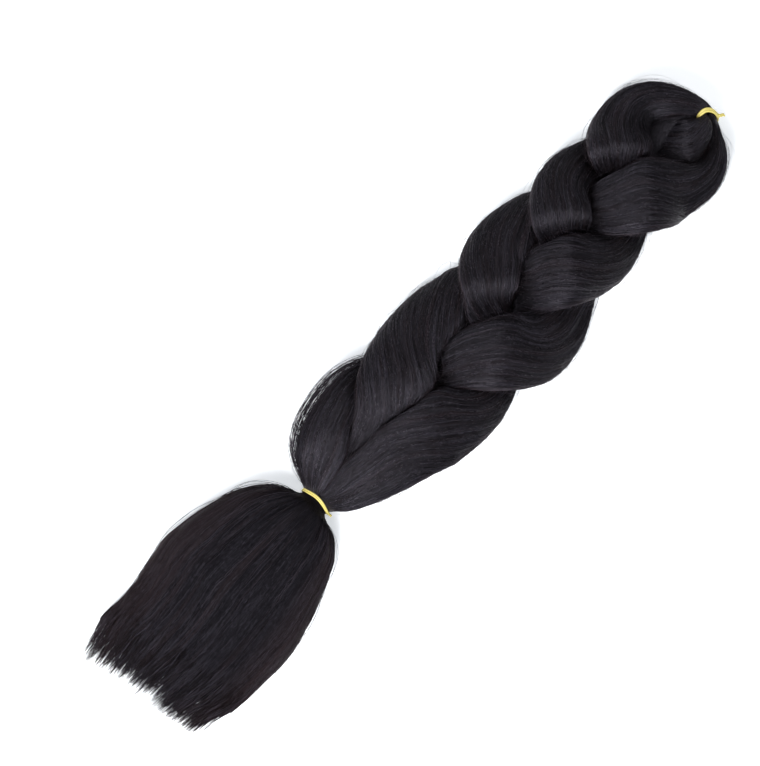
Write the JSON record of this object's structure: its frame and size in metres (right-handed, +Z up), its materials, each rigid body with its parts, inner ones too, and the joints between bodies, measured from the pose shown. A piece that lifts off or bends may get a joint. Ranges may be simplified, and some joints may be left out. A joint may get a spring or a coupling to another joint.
{
  "type": "plaited braiding hair bundle",
  "caption": "Long bundle of off-black synthetic braiding hair, folded and banded at the head, plaited from thick strands and tied, with a loose cut tail, lying flat.",
  "frame": {"origin": "on the surface the plait lies on, under the middle of its bounding box", "axes": "+X along the plait from the cut tail to the folded head, +Y across it, +Z up from the surface"},
  "size_m": [0.5994, 0.1278, 0.0508],
  "materials": {
    "hair": "off-black synthetic fibre, softly glossy along its length",
    "tail_hair": "off-black synthetic fibre, loose, with a ragged cut end",
    "elastic": "pale yellow elastic, slightly glossy"
  },
  "bodies": {
    "root": {"strand_a": "hair", "strand_b": "hair", "strand_c": "hair", "tail": "tail_hair", "tail_band": "elastic", "head_band": "elastic"}
  },
  "joints": []
}
